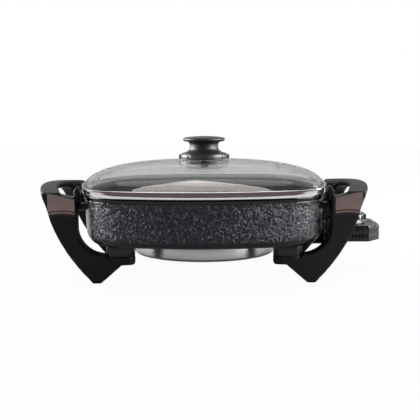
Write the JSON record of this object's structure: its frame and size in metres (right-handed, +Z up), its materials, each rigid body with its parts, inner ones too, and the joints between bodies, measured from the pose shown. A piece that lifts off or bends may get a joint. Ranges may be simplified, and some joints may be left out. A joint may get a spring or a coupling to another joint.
{
  "type": "electric skillet",
  "caption": "Square electric skillet with a lift-off domed glass lid, steam ring on the knob, handle-and-leg mouldings and a plug-in heat control with a dial.",
  "frame": {"origin": "middle of the whole footprint, on the surface that the four feet stand on", "axes": "+Z up, +X to the right towards the plug-in heat control, +Y to the rear; the pictured front faces -Y"},
  "size_m": [0.4336, 0.31, 0.1733],
  "materials": {
    "pan_coating": "cast, under a hammered dark nonstick enamel, satin",
    "plate_metal": "turned, satin",
    "element_sheath": "heat-darkened sheath",
    "ceramic_white": "matte",
    "pin_steel": "bright",
    "guard_black": "satin black",
    "handle_black": "polished phenolic, glossy",
    "spacer_black": "moulded, semi-gloss",
    "screw_steel": "zinc bright",
    "lid_glass": "clear tempered",
    "band_steel": "polished stainless",
    "seal_silicone": "translucent matte",
    "knob_black": "satin phenolic",
    "ring_grey": "satin",
    "case_black": "moulded, semi-gloss",
    "brass": "bright",
    "blade_bimetal": "strip metal",
    "lamp_amber": "clear bulb",
    "lens_red": "tinted, glossy",
    "dial_white": "printed white"
  },
  "bodies": {
    "skillet": {"pan_body": "pan_coating", "heating_plate": "plate_metal", "heating_element": "element_sheath", "element_beads": "ceramic_white", "terminal_pins": "pin_steel", "terminal_guard": "guard_black", "guard_screws": "screw_steel", "left_handle": "handle_black", "right_handle": "handle_black", "leg_spacers": "spacer_black", "leg_screws": "screw_steel", "leg_washers": "screw_steel", "handle_screws": "screw_steel"},
    "lid": {"glass_lid": "lid_glass", "lid_band": "band_steel", "steam_eyelet": "band_steel", "knob_seal": "seal_silicone", "lower_seal": "seal_silicone", "clamp_washer": "screw_steel", "knob_screw": "screw_steel", "knob_collar": "knob_black", "knob_insert": "brass", "lid_knob": "knob_black"},
    "vent_ring": {"steam_ring": "ring_grey"},
    "heat_control": {"lower_case": "case_black", "upper_case": "case_black", "sensor_probe": "pin_steel", "contact_sleeves": "brass", "thermostat_frame": "screw_steel", "frame_screws": "screw_steel", "ceramic_stack": "ceramic_white", "bimetal_blade": "blade_bimetal", "contact_spring": "brass", "contact_points": "pin_steel", "probe_clip": "screw_steel", "link_wire": "brass", "signal_lamp": "lamp_amber", "lamp_lens": "lens_red", "cord_gland": "case_black", "case_screws": "screw_steel", "dial_bushing": "brass"},
    "dial": {"dial_shaft": "pin_steel", "control_dial": "case_black", "dial_pointer": "dial_white"}
  },
  "joints": [
    {"name": "lid_lift", "type": "slide", "parent": "skillet", "child": "lid", "axis": [0, 0, 1], "range_m": [0, 0.15]},
    {"name": "steam_ring_turn", "type": "hinge", "parent": "lid", "child": "vent_ring", "pos_m": [-0.009, 0, 0.148], "axis": [0, 0, 1], "range_deg": [0, 25]},
    {"name": "control_unplug", "type": "slide", "parent": "skillet", "child": "heat_control", "axis": [1, 0, 0], "range_m": [0, 0.11]},
    {"name": "dial_turn", "type": "hinge", "parent": "heat_control", "child": "dial", "pos_m": [0.179, 0.014, 0.066], "axis": [0, 0, 1], "range_deg": [-270, 0]}
  ]
}
